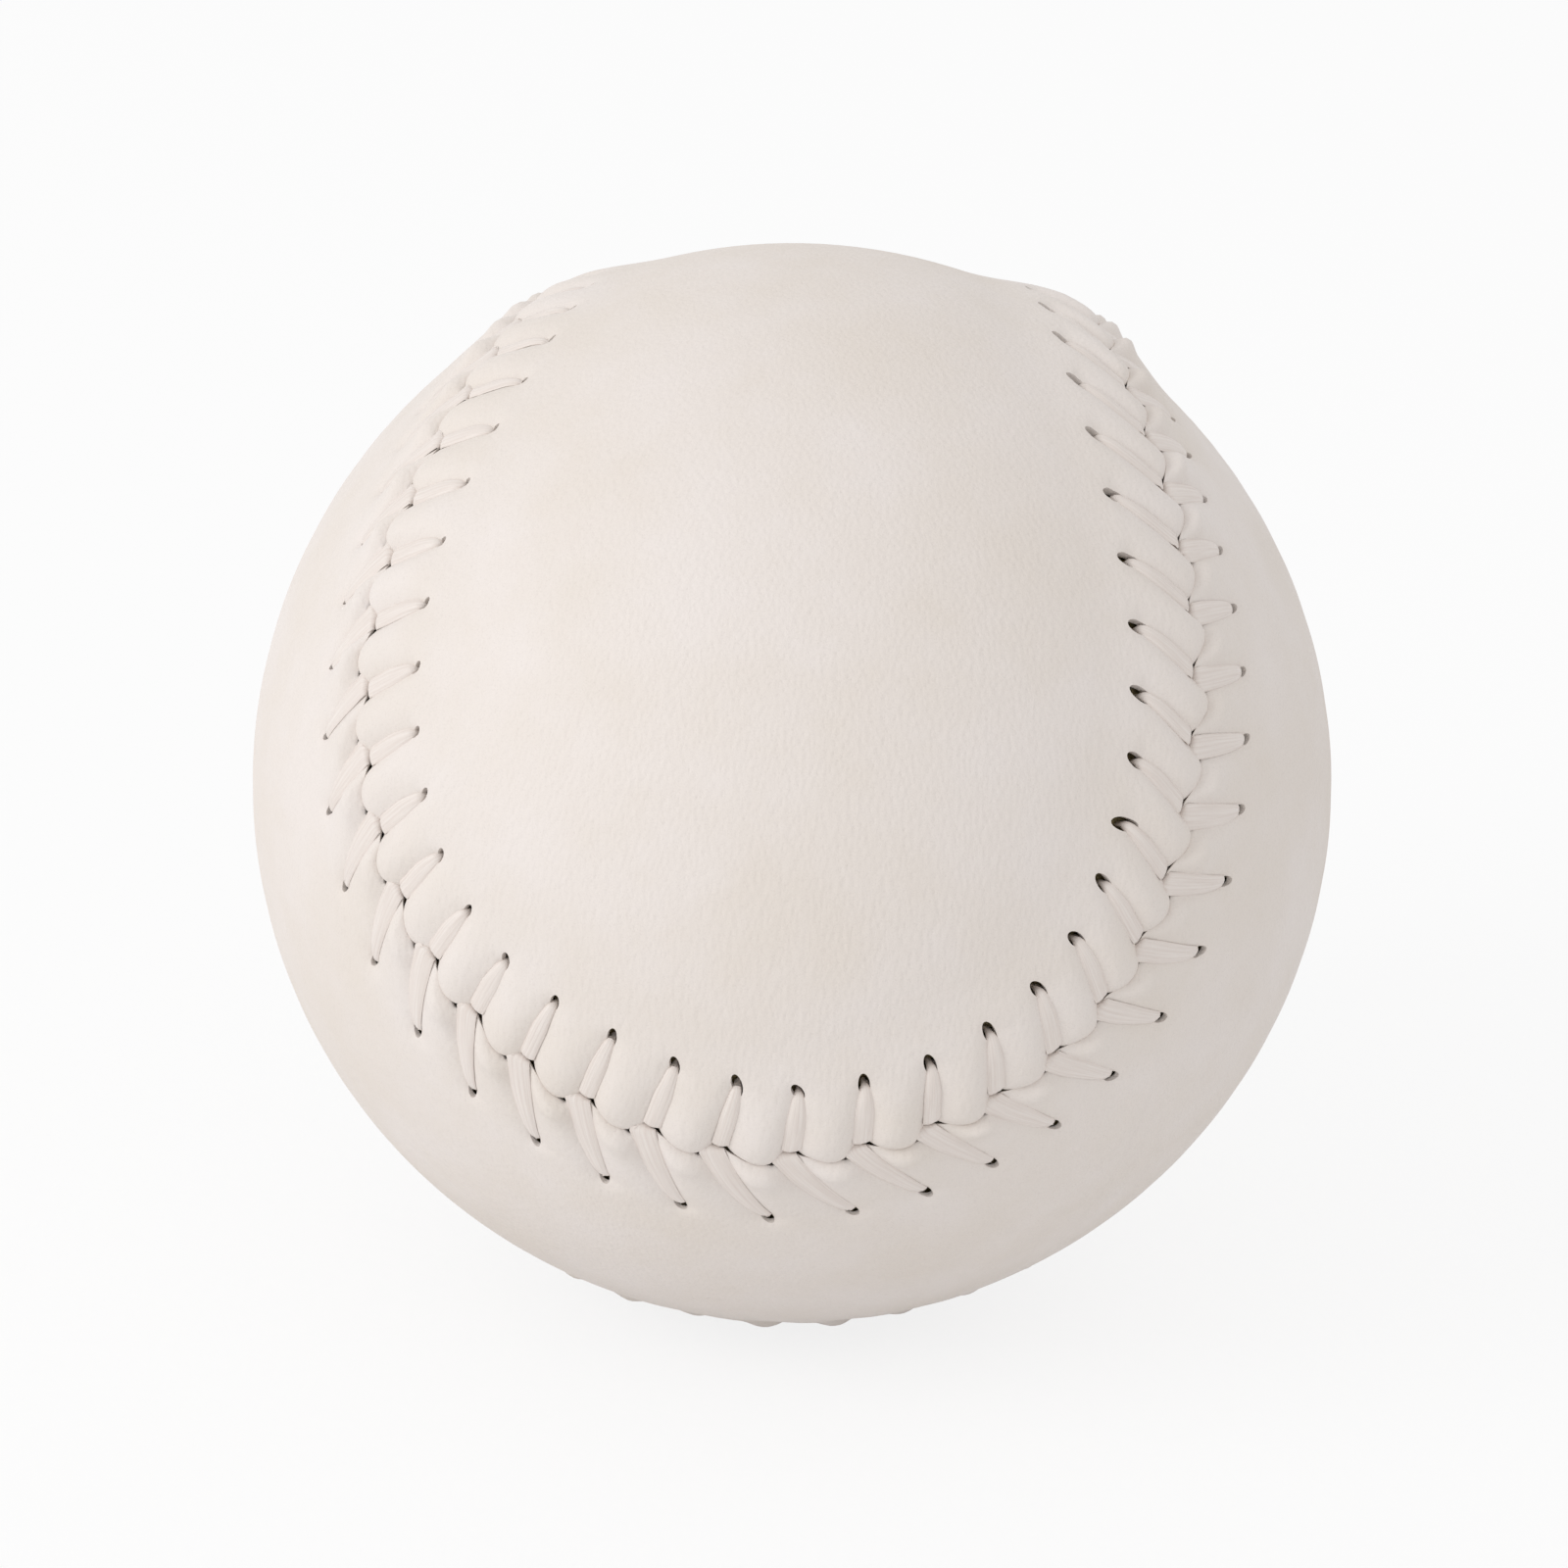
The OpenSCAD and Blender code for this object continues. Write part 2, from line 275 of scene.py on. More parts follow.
def leather_top(side, w, d):
    """Height of the leather's outside over the smooth ball."""
    reach = row(side, w)
    from_leg = np.abs(w - np.round(w))
    across_bed = np.clip(from_leg / bed_half(side, w, d), 0, 1)
    bed = THREAD_T / 2 * (1 - across_bed ** 2) ** (THREAD_EDGE / 2)
    towards_hole = np.clip((d - FULL_PILLOW) / (reach - FULL_PILLOW), 0, 1)
    pillow = PILLOW_H[side] * (1 + (AT_HOLE_SHARE - 1) * towards_hole)
    share = PILLOW_SHARE[side][np.floor(w).astype(int) % STITCHES]
    pressed = smooth((reach + PRESS_PAST - d) / PRESS_FADE)
    from_hole = np.hypot(from_leg * PITCH, d - reach - DIMPLE_PAST)
    full = swell(side, w, d) * share
    bulge = BULGE_H[side] * full * np.exp(-((d - BULGE_AT) / BULGE_W) ** 2)
    ridge = 1 + sum(of_ridge * on_run(w, middle, half) for middle, half, of_ridge, _ in UNEVEN_RUNS)
    puff = 1 + sum(of_pillow * on_run(w, middle, half) for middle, half, _, of_pillow in UNEVEN_RUNS)
    return (crest(d) * ridge + bulge * puff - (pillow * puff * (1 - full) + bed) * pressed
            - DIMPLE_H * np.exp(-from_hole ** 2))


bed_and_pillow = np.array([0.0, 0.5])
near_seam = leather_top(FRONT, bed_and_pillow, np.full(2, 2.0))
print("bed and pillow near the seam:", near_seam.round(2), "mm high")

# %% [markdown]
# ## A sheet that is wrapped into place
# The leather and the threads both follow the seam all round the ball. Each starts as a plain flat grid, and
# every point of the grid is then moved to its own place on the ball. Where two edges of the grid meet again,
# the doubles are merged, which closes the piece.

# %% Wrapped grid
CLOSE = 0.001 * MM  # points nearer than this are one


def only(*chosen):
    """Selects these objects and nothing else, and makes the first one active."""
    bpy.ops.object.select_all(action="DESELECT")
    for one in chosen:
        one.select_set(True)
    bpy.context.view_layer.objects.active = chosen[0]


def wrapped_grid(name, columns, lines, place):
    """A flat grid whose points are moved to where place puts their column and line, in mm."""
    bpy.ops.object.select_all(action="DESELECT")
    bpy.ops.mesh.primitive_grid_add(x_subdivisions=columns, y_subdivisions=lines, size=1)
    sheet = bpy.context.object
    sheet.name = sheet.data.name = name
    flat = np.empty(len(sheet.data.vertices) * 3)
    sheet.data.vertices.foreach_get("co", flat)
    u, v = flat.reshape(-1, 3)[:, :2].T + 0.5
    column = np.rint(u * columns).astype(int)
    line = np.rint(v * lines).astype(int)
    points = as_it_lies(place(column, line)) * MM
    sheet.data.vertices.foreach_set("co", points.ravel())
    sheet.data.update()
    return sheet


def merge_and_turn_out(piece):
    """Merges doubles and points all faces outwards, then counts what is left open."""
    only(piece)
    bpy.ops.object.mode_set(mode="EDIT")
    bpy.ops.mesh.select_all(action="SELECT")
    bpy.ops.mesh.remove_doubles(threshold=CLOSE)
    bpy.ops.mesh.dissolve_degenerate(threshold=CLOSE)
    bpy.ops.mesh.select_all(action="SELECT")
    bpy.ops.mesh.normals_make_consistent(inside=False)
    bpy.ops.mesh.select_all(action="DESELECT")
    bpy.ops.mesh.select_non_manifold(extend=False)
    bpy.ops.object.mode_set(mode="OBJECT")
    loose = sum(v.select for v in piece.data.vertices)
    triangles = sum(len(p.vertices) - 2 for p in piece.data.polygons)
    print(f"{piece.name}: {triangles} triangles, {loose} points on open edges")


# %% [markdown]
# ## The lips
# Between two stitches the front panel's lip bulges over the seam and the back panel's lip makes room for it,
# so the seam line is a row of scallops. At a foot both lips draw back from the thread that dives there. Some
# runs of the seam are laced looser: just past each foot a small dark eye stays open there, and in the tight
# runs the lips are pressed together until the line all but goes.

# %% Edge of the lips
LOOSE_RUNS = (0.5, 3, 16)  # three loose runs round the ball, and three tight ones
SCALLOP = {FRONT: -1.45, BACK: 1.45}
SCALLOP_SHARE = chance.uniform(0.86, 1.1, STITCHES)
SCALLOP_LEAN = 1.6  # power: more than 1 moves the tip of a scallop on, towards the next foot
SCALLOP_ROUND = 0.9  # power: less than 1 makes a scallop blunter
DIVE_ROOM = {FRONT: 0.42, BACK: 0.56}  # how far a lip draws back for the thread
DIVE_HALF = {FRONT: 0.125, BACK: 0.15}  # half as long as that room, in stitches
DIVE_STEEP = 8  # power: a high one gives that room straight sides
TIGHT_ROOM = 0.6  # the share of that room that is left where the lacing is tightest
SEAM_GAP = 0.015
SEAM_PRESS = 0.07  # how far each lip is pressed into the other where the lacing is tightest
EYE_GAP = 0.1
EYE_AT, EYE_HALF = 0.2, 0.045  # in stitches past the foot
LIP_REACH = 4  # how far from its edge the leather follows the lip's shift


def lip_shift(side, n):
    """How far a lip's edge stands back from the middle of the seam, beside point n."""
    phase = n - np.floor(n)
    loose = 0.5 + waves(n, LOOSE_RUNS)
    press = SEAM_PRESS * (1 - loose) * np.sin(math.pi * phase) ** 2
    share = SCALLOP_SHARE[np.floor(n).astype(int) % STITCHES]
    scallop = SCALLOP[side] * share * np.sin(math.pi * phase ** SCALLOP_LEAN) ** SCALLOP_ROUND
    from_foot = n - FOOT[side] - np.round(n - FOOT[side])
    room = DIVE_ROOM[side] * (TIGHT_ROOM + (1 - TIGHT_ROOM) * loose)
    dive = room / (1 + (np.abs(from_foot) / DIVE_HALF[side]) ** DIVE_STEEP)
    eye = EYE_GAP * loose * np.exp(-((phase - EYE_AT) / EYE_HALF) ** 2)
    return SEAM_GAP - press + scallop + dive + eye


print("lip edge of the front panel, mm from the seam's middle:",
      [round(float(x), 2) for x in lip_shift(FRONT, np.arange(0, 1, 0.125))])

# %% [markdown]
# ## The leather's section
# The leather is pared thin along its cut edge, so that two edges fit in the height of one. The section runs
# from the smooth inside along the pared underside, round the cut edge, over the lip's rolled top and out to
# the smooth outside. The front panel's pillows end round and steep, and the back panel slopes down to meet
# them. Each line of the section is of one kind, and has one number to say where in its kind.

# %% Section of a panel
COVER_T = 1.4
SMOOTH_AT = 11.6  # how far from its edge the leather is smooth again
PARED_PAST = 1.9  # how far past the holes the paring ends
PARED_DEPTH = 0.72
EDGE_R = 0.3
ROLL_W = {FRONT: 1.5, BACK: 2.7}
ROLL_H = {FRONT: 0.82, BACK: 0.8}
ROLL_AT_BED = {FRONT: 0.3, BACK: 0.22}  # the roll's height where a thread lies
ROLL_SLOPE = {FRONT: 1, BACK: 2}  # power: 1 is a round roll, and 2 is a slope

INSIDE, UNDER, EDGE, ROLL, OVER = range(5)
OVER_LINES = 24
SECTION = ([(INSIDE, 0)]
           + [(UNDER, share) for share in (1, 0.8, 0.55, 0.3, 0.12)]
           + [(EDGE, math.radians(a)) for a in (-90, -60, -30, 0)]
           + [(ROLL, math.radians(a)) for a in (12, 24, 36, 48, 60, 75, 90)]
           + [(OVER, share) for share in np.linspace(0, 1, OVER_LINES + 1)[1:]])
KIND, WHERE = np.array([k for k, _ in SECTION]), np.array([x for _, x in SECTION], float)


def on_section(side, w, line):
    """Distance from the lip's edge, and height, of points on lines of the section."""
    kind, where = KIND[line], WHERE[line]
    reach = row(side, w)
    wide = ROLL_W[side]
    back = np.choose(kind, [np.full_like(w, SMOOTH_AT),
                            EDGE_R + (reach + PARED_PAST - EDGE_R) * where,
                            EDGE_R * (1 - np.cos(where)),
                            wide * (1 - np.cos(where)),
                            wide + (SMOOTH_AT - wide) * where])
    top = leather_top(side, w, back)
    drop = ROLL_AT_BED[side] + (ROLL_H[side] - ROLL_AT_BED[side]) * swell(side, w, back)
    lip_under = leather_top(side, w, np.full_like(w, EDGE_R)) - drop - EDGE_R
    height = np.choose(kind, [np.full_like(w, -COVER_T),
                              lip_under + (-PARED_DEPTH - lip_under) * where,
                              top - drop + EDGE_R * np.sin(where),
                              top - drop * (1 - np.sin(where) ** ROLL_SLOPE[side]),
                              top])
    return back, np.where(line == len(SECTION) - 1, 0, height)


print("lines in the section:", len(SECTION))

# %% [markdown]
# ## One leather panel
# A panel is three wrapped grids. The first runs along the whole lip and carries the section round it. The
# other two close the smooth middle, outside and inside: their ribs run straight across the panel, from a
# point on one edge to the point across from it, and end where the first grid ends. Along the first grid the
# columns are drawn together at the thread's edges, where the leather turns up sharply.

# %% Cover panel
COLUMNS = 16  # to a stitch
RIBS_ACROSS = 16
IN_BED = 2 / COLUMNS  # the second column from a leg's middle is moved to the thread's edge
DRAWN_IN = 1.3  # power: more draws the columns closer to that edge
DRAWN_FADE = 3
SETTLING = 5  # rounds in which the lead and the lip's shift settle


def drawn_together(side, w, d):
    """Moves the columns so that one of them lies along each edge of a thread."""
    leg = np.round(w)
    away = np.abs(w - leg)
    bed = bed_half(side, w, d)
    beyond = np.clip((away - IN_BED) / (0.5 - IN_BED), 0, 1) ** DRAWN_IN
    moved = np.where(away <= IN_BED, away / IN_BED * bed, bed + (0.5 - bed) * beyond)
    much = smooth((np.minimum(row(side, w) + DRAWN_FADE, SMOOTH_AT) - d) / DRAWN_FADE)
    return leg + np.sign(w - leg) * (away + (moved - away) * much)


def panel(name, side):
    """A figure-eight panel: the strip along its lip, and the smooth middle outside and inside."""
    def lip_strip(column, line):
        even = column / COLUMNS
        back, _ = on_section(side, even, line)
        w = drawn_together(side, even, back)
        back, height = on_section(side, w, line)
        much = np.clip(1 - back / LIP_REACH, 0, 1) ** 2
        d = back
        # The lead and the shift each depend on the other.
        for _ in range(SETTLING):
            n = w + leg_lead(side, w, d)
            d = back + lip_shift(side, n) * much
        return on_ball(n, side * d, height)

    def smooth_ring(w, height):
        return on_ball(w + hole_lead(side, w), np.full_like(w, side * SMOOTH_AT), height)

    def middle(height):
        tip = STITCHES / 4 if side == FRONT else 0

        def rib(column, line):
            level = np.full(column.shape, float(height))
            a = smooth_ring(tip + column / COLUMNS, level)
            b = smooth_ring(tip - column / COLUMNS, level)
            return (BALL_R + height) * unit(a + (b - a) * (line / RIBS_ACROSS)[:, None])
        return rib

    strip = wrapped_grid(name, COLUMNS * STITCHES, len(SECTION) - 1, lip_strip)
    outside = wrapped_grid("outside", COLUMNS * STITCHES // 2, RIBS_ACROSS, middle(0))
    inside = wrapped_grid("inside", COLUMNS * STITCHES // 2, RIBS_ACROSS, middle(-COVER_T))
    only(strip, outside, inside)
    bpy.ops.object.join()
    merge_and_turn_out(strip)
    return strip


cover_front = panel("leather_front", FRONT)
cover_back = panel("leather_back", BACK)

# %% [markdown]
# ## Stitch holes
# The holes are punched through the leather, and the pull of the thread draws each one out into an oval that
# stays open behind the thread. One punch is modelled, copied to all the holes of a panel, and cut out.

# %% Punch the holes
PUNCH_ACROSS = {FRONT: 0.88, BACK: 0.82}
PUNCH_LONG = {FRONT: 1.9, BACK: 1.4}
PUNCH_OFFSET = {FRONT: 0.3, BACK: 0.15}  # a slot's middle lies this far behind the thread
PUNCH_DEPTH = 4
PUNCH_SIDES = 20
PUNCH_TURN = (4, 30)  # degrees, from the least turned slot to the most turned one
PUNCH_UNEVEN = (0.85, 1.15)  # the shares by which the slots differ in length
ON_LEG = 0.6  # the share of a leg's length at which its direction is taken
STRETCH = {FRONT: (1.05, (0.32, 2, 254)), BACK: (0.88, (0.28, 2, 200))}
FILLED = {FRONT: 0, BACK: 0.5}  # how much smaller the holes are on the run where the thread fills them
FILLED_RUN = (52, 3.5)  # the middle and the half of that run, in stitches


def stretched(side, n):
    """The hand pulled harder on one run of holes than on the next."""
    mean, wave = STRETCH[side]
    return (mean + waves(n, wave)) * (1 - FILLED[side] * on_run(n, *FILLED_RUN))


def punch_place(side, n):
    """The frame of a hole: X across the slot, Y along it away from the seam, Z outwards."""
    one = np.array([float(n)])
    far = row(side, one)
    level = np.zeros(1)
    hole = on_ball(one + hole_lead(side, one), side * (far + PUNCH_OFFSET[side]), level)
    on_leg = on_ball(one + leg_lead(side, one, far * ON_LEG), side * far * ON_LEG, level)
    hole, on_leg = (Vector(as_it_lies(p)[0]) * MM for p in (hole, on_leg))
    out = hole.normalized()
    across = (hole - on_leg).cross(out).normalized()
    away = out.cross(across)
    turn = math.radians(chance.uniform(*PUNCH_TURN))
    size = stretched(side, n)
    long = PUNCH_LONG[side] * size * chance.uniform(*PUNCH_UNEVEN)
    return (Matrix.Translation(hole) @ Matrix((across, away, out)).transposed().to_4x4()
            @ Matrix.Rotation(turn, 4, "Z") @ Matrix.Diagonal((PUNCH_ACROSS[side] * size, long, 1, 1)))


def punch_holes(cover, side):
    """A punch 1 mm across is copied, and the frame of each hole gives its copy the real size."""
    bpy.ops.object.select_all(action="DESELECT")
    bpy.ops.mesh.primitive_cylinder_add(vertices=PUNCH_SIDES, radius=MM / 2, depth=PUNCH_DEPTH * MM)
    first = bpy.context.object
    punches = []
    for n in range(STITCHES):
        punch = bpy.data.objects.new("punch", first.data.copy())
        punch.data.transform(punch_place(side, n))
        bpy.context.scene.collection.objects.link(punch)
        punches.append(punch)
    only(first)
    bpy.ops.object.delete()
    only(*punches)
    bpy.ops.object.join()
    punch = punches[0]
    # The punch's material goes onto the hole walls: raw hide, painted dark as shade in the holes.
    punch.data.materials.append(raw_hide_and_hole_shade)
    cut = cover.modifiers.new("holes", "BOOLEAN")
    cut.operation = "DIFFERENCE"
    cut.solver = "MANIFOLD"
    cut.object = punch
    only(cover)
    bpy.ops.object.modifier_apply(modifier=cut.name)
    bpy.data.objects.remove(punch)


# %% [markdown]
# ## Colours and nodes
# Colours are written as they look on a screen, in hex, and one function turns them to the linear light that
# a shader works in. Another function adds one node to a material, with its settings and its links.

# %% Colour and node helpers
def linear(hex_colour):
    """The sRGB standard's own curve, from a colour as it looks on a screen to linear light."""
    parts = [int(hex_colour[i:i + 2], 16) / 255 for i in (1, 3, 5)]
    return tuple(p / 12.92 if p <= 0.04045 else ((p + 0.055) / 1.055) ** 2.4 for p in parts) + (1,)


def add_node(tree, kind, inputs=(), **settings):
    """One node. Inputs map a socket's name or number to a value, or to another node's output."""
    node = tree.nodes.new("ShaderNode" + kind)
    for name, value in settings.items():
        setattr(node, name, value)
    for socket, value in dict(inputs).items():
        if isinstance(value, bpy.types.NodeSocket):
            tree.links.new(value, node.inputs[socket])
        else:
            node.inputs[socket].default_value = value
    return node


def new_material(name, roughness, **sockets):
    """A material with a Principled shader, whose constant sockets are set here."""
    material = bpy.data.materials.new(name)
    material.use_nodes = True
    shader = material.node_tree.nodes["Principled BSDF"]
    shader.inputs["Roughness"].default_value = roughness
    for socket, value in sockets.items():
        shader.inputs[socket.replace("_", " ")].default_value = value
    return material, material.node_tree, shader


COLOUR_A, COLOUR_B, COLOUR_OUT = 6, 7, 2  # a Mix node's colour sockets, by number
print("leather white in linear light:", [round(c, 3) for c in linear("#E6DED9")[:3]])

# %% [markdown]
# ## Leather
# The cover is split cowhide with a thin white polyurethane coat, embossed with a grain and then stretched
# wet over the ball. The coat makes it brighter and a little glossier than bare leather. The grain shows as
# low slanting pebbles, 0.4 mm wide and 1 mm long, and the white isn't even: broad soft clouds are a touch
# warmer. Two noises and a cell pattern on the piece's own coordinates give all that, with no image. The
# punched holes show the raw hide inside, painted a darker brown than raw hide is, as painted shade in them.

# %% Leather material
GRAIN_WIDE, GRAIN_LONG = 0.42 * MM, 0.95 * MM
GRAIN_TURN = (0.5, 0.9, 0.3)
GRAIN_DEPTH = 0.09 * MM
PORES = 0.16 * MM  # real pores are about 0.08 mm, too fine for a pixel, so they are drawn twice as coarse
PORE_SHARE = 0.35  # of the grain's depth
CLOUDS = 14 * MM
HIDE_FIBRES = 0.2 * MM


def leather_finish(name):
    material, tree, shader = new_material(name, 0.6, IOR=1.45)
    place = add_node(tree, "TexCoord").outputs["Object"]
    clouds = add_node(tree, "TexNoise", {"Vector": place, "Scale": 1 / CLOUDS, "Detail": 4,
                                         "Roughness": 0.6})
    tone = add_node(tree, "MapRange", {"Value": clouds.outputs[0], "From Min": 0.35, "From Max": 0.68})
    base = add_node(tree, "Mix", {0: tone.outputs[0], COLOUR_A: linear("#E6DED9"),
                                  COLOUR_B: linear("#E2D9D1")}, data_type="RGBA")
    slant = add_node(tree, "Mapping", {"Vector": place, "Rotation": GRAIN_TURN,
                                       "Scale": (1 / GRAIN_WIDE, 1 / GRAIN_WIDE, 1 / GRAIN_LONG)})
    pebbles = add_node(tree, "TexVoronoi", {"Vector": slant.outputs[0], "Scale": 1, "Randomness": 0.9},
                       feature="SMOOTH_F1")
    pores = add_node(tree, "TexNoise", {"Vector": place, "Scale": 1 / PORES, "Detail": 2})
    grain = add_node(tree, "Math", {0: pores.outputs[0], 1: PORE_SHARE, 2: pebbles.outputs["Distance"]},
                     operation="MULTIPLY_ADD")
    speck = add_node(tree, "MapRange", {"Value": pores.outputs[0], "From Min": 0.3, "From Max": 0.45,
                                        "To Min": 0.1, "To Max": 0})
    colour = add_node(tree, "Mix", {0: speck.outputs[0], COLOUR_A: base.outputs[COLOUR_OUT],
                                    COLOUR_B: linear("#A99E96")}, data_type="RGBA")
    gloss = add_node(tree, "MapRange", {"Value": clouds.outputs[0], "From Min": 0.3, "From Max": 0.7,
                                        "To Min": 0.56, "To Max": 0.66})
    bump = add_node(tree, "Bump", {"Strength": 0.7, "Distance": GRAIN_DEPTH, "Height": grain.outputs[0]})
    tree.links.new(colour.outputs[COLOUR_OUT], shader.inputs["Base Color"])
    tree.links.new(gloss.outputs[0], shader.inputs["Roughness"])
    tree.links.new(bump.outputs[0], shader.inputs["Normal"])
    return material


# Gives the eye: a soft, slightly warm white with a low satin sheen and a faint grain.
coated_leather = leather_finish("coated_split_leather")

# Gives the eye: small dark brown holes with dull fibres and no coat; the dark is partly painted shade.
raw_hide_and_hole_shade, tree, shader = new_material("raw_leather_and_painted_hole_shade", 0.85)
place = add_node(tree, "TexCoord").outputs["Object"]
fibres = add_node(tree, "TexNoise", {"Vector": place, "Scale": 1 / HIDE_FIBRES, "Detail": 3})
# Raw hide's brown, painted darker as shade in the holes, varied by the fibres.
raw = add_node(tree, "Mix", {0: fibres.outputs[0], COLOUR_A: linear("#5E5248"), COLOUR_B: linear("#332B26")},
               data_type="RGBA")
tree.links.new(raw.outputs[COLOUR_OUT], shader.inputs["Base Color"])

for cover, side in ((cover_front, FRONT), (cover_back, BACK)):
    cover.data.materials.append(coated_leather)
    punch_holes(cover, side)
    merge_and_turn_out(cover)
    only(cover)
    bpy.ops.object.shade_smooth_by_angle(angle=math.radians(50))
    print(cover.name, "materials:", [m.name for m in cover.data.materials])

# %% [markdown]
# ## Waxed thread
# The thread is a flat bundle of four waxed cotton plies with a slow twist. Pulled over the leather it
# spreads out flat, and it gathers where it dives. Each stitch is a little different in width, place and
# twist. One strand of it goes through 88 holes, and the other takes the 88 that are left.
# The path of one thread is worked out as rows of stations, and a grid is wrapped round it as a tube.

# %% Path of a thread
THREAD_GAP = 0.015  # between the thread and its bed
RIM_R = 0.45  # how tightly the thread bends over a hole's rim
FOOT_R = 0.4  # and over the lip at its foot
RIM_ANGLES = np.radians((0, 30, 60, 90))
HOLE_NEAR = 0.05  # how far short of a hole's middle the thread dives
DEEP_AT_HOLE, UNDER_RIM = -1.15, -0.5
DEEP_AT_LIPS = -0.85
FOOT_D = {FRONT: 0.2, BACK: 0.36}
UNDER_FOOT = 0.7  # the share of FOOT_D at which the thread passes under the lip
SPREAD = 0.095  # in stitches: the two threads pass each other side by side
GATHERED_W, DIVE_W = 0.6, 0.95
RIM_SHARES = np.array([0.3, 0.65, 0.9, 1])  # how far the thread has spread, over a hole's rim
FOOT_SHARES = (0.92, 0.75)  # and how far it has gathered again, over the lip
HIDDEN_PARTS = (0.3, 0.55, 0.8)  # stations on the way under the leather to the next hole
LEG_STATIONS = 9
STATIONS = 24  # on one stitch, with all of these


def leg_stations(side, n, share):
    """One stitch of a thread, as rows of n, d, h and width, from under its hole to its foot and on."""
    at_hole, at_foot = float(row(side, np.array(n))) - HOLE_NEAR, FOOT_D[side]
    over = THREAD_GAP + THREAD_T / 2

    def top(d):
        return leather_top(side, np.full_like(d, n), d) + over

    rim_d = at_hole - RIM_R + RIM_R * np.cos(RIM_ANGLES)
    rim_h = top(rim_d) - RIM_R + RIM_R * np.sin(RIM_ANGLES)
    run_d = np.linspace(at_hole - RIM_R, at_foot + FOOT_R, LEG_STATIONS + 2)[1:-1]
    foot_d = at_foot + FOOT_R - FOOT_R * np.sin(RIM_ANGLES)
    foot_h = top(foot_d) - FOOT_R + FOOT_R * np.cos(RIM_ANGLES)
    d = np.concatenate([[at_hole, at_hole], rim_d, run_d, foot_d, [at_foot, at_foot * UNDER_FOOT]])
    h = np.concatenate([[DEEP_AT_HOLE, UNDER_RIM], rim_h, top(run_d), foot_h, [foot_h[-1], DEEP_AT_LIPS]])
    x = n + leg_lead(side, np.full_like(d, n), d)
    x[-1] = n + side * SPREAD
    x[-2] = n + (FOOT[side] + side * SPREAD) / 2
    wide = leg_width(side, np.full_like(d, n), d) * share
    wide[:2] = GATHERED_W
    wide[2:6] = GATHERED_W + (wide[2:6] - GATHERED_W) * RIM_SHARES
    wide[-4:-2] *= FOOT_SHARES
    wide[-2:] = DIVE_W, GATHERED_W
    return np.stack([x, side * d, h, wide], axis=-1)


def thread_stations(turn, shares):
    """All stations of one thread. Its legs lie on the two panels by turns."""
    sides = [FRONT if (m + turn) % 2 == 0 else BACK for m in range(STITCHES)]
    legs = [leg_stations(side, float(STITCHES - m), share)
            for m, (side, share) in enumerate(zip(sides, shares))]
    rows = []
    for m, leg in enumerate(legs):
        following = legs[(m + 1) % STITCHES][0].copy()
        if m == STITCHES - 1:
            following[0] -= STITCHES
        rows.append(leg)
        for part in HIDDEN_PARTS:
            rows.append((leg[-1] + (following - leg[-1]) * part)[None])
    return np.concatenate(rows)


print("stations on one stitch:", len(leg_stations(FRONT, 3.0, 1)) + len(HIDDEN_PARTS))

# %% [markdown]
# ## The thread's section
# Round each station goes a flattened oval with thin edges and a shallow valley between the plies. The
# valleys move across as the tube goes on, which gives the slow twist. They are shape, and the material adds
# only the fibres.

# %% Thread tube
AROUND = 40
PLIES = 4
PLY_DEPTH = 0.035
TWIST = 0.9  # how many plies the valleys move across in one stitch
OPEN_FROM, OPEN_UNTIL = 4, 6  # how soon a leg is open past its hole, and how soon it closes at its foot
LEG_PART = 0.8  # where a leg's open part ends, as a share of a stitch's stations


def thread(name, turn):
    """One closed strand. With turn 0 it takes the front panel's even stitches, and with 1 its odd ones."""
    shares = chance.uniform(0.92, 1.08, STITCHES)
    slips = chance.uniform(-0.07, 0.07, STITCHES)
    twists = chance.uniform(0, 1, STITCHES)
    stations = thread_stations(turn, shares)
    count = len(stations)
    stitch = np.arange(count) // STATIONS
    along_leg = (np.arange(count) % STATIONS) / STATIONS
    centre = on_ball(stations[:, 0], stations[:, 1], stations[:, 2])
    ahead = unit(unit(np.roll(centre, -1, 0) - centre) + unit(centre - np.roll(centre, 1, 0)))
    length = np.linalg.norm(np.roll(centre, -1, 0) - centre, axis=1).sum()
    print(f"{name} is one closed strand, {length:.0f} mm long")
    along = seam_along(seam_t(stations[:, 0]))
    wide = unit(along - np.sum(along * ahead, 1, keepdims=True) * ahead)
    high = np.cross(ahead, wide)
    on_leg = smooth(along_leg * OPEN_FROM) * smooth((LEG_PART - along_leg) * OPEN_UNTIL)
    centre = centre + wide * (slips[stitch] * on_leg)[:, None]
    twist = twists[stitch] + TWIST * along_leg

    def tube(column, line):
        i = column % count
        turned = 2 * math.pi * line / AROUND
        flat, thick = np.cos(turned), np.sin(turned)
        ply = (flat + 1) / 2 * PLIES + twist[i]
        valley = PLY_DEPTH * (0.5 + 0.5 * np.cos(2 * math.pi * ply)) * on_leg[i] * np.abs(thick)
        x = flat * stations[i, 3] / 2
        y = np.sign(thick) * (np.abs(thick) ** THREAD_EDGE * THREAD_T / 2 - valley)
        return centre[i] + wide[i] * x[:, None] + high[i] * y[:, None]

    piece = wrapped_grid(name, count, AROUND, tube)
    merge_and_turn_out(piece)
    return piece


thread_first = thread("waxed_thread_first", 0)
thread_second = thread("waxed_thread_second", 1)

# %% [markdown]
# ## Thread finish
# Cotton is dull, and the wax makes it smoother than bare leather and a little warmer in tone. The grid's own
# UV map follows the strand, so a noise that is stretched along it draws fibres that turn with the thread.

# %% Thread material
FIBRES_ACROSS = 26  # real fibres are 0.02 mm thick, too fine to show, so these are drawn 0.15 mm thick
FIBRES_ALONG = 2  # to a stitch
FIBRE_DEPTH = 0.04 * MM

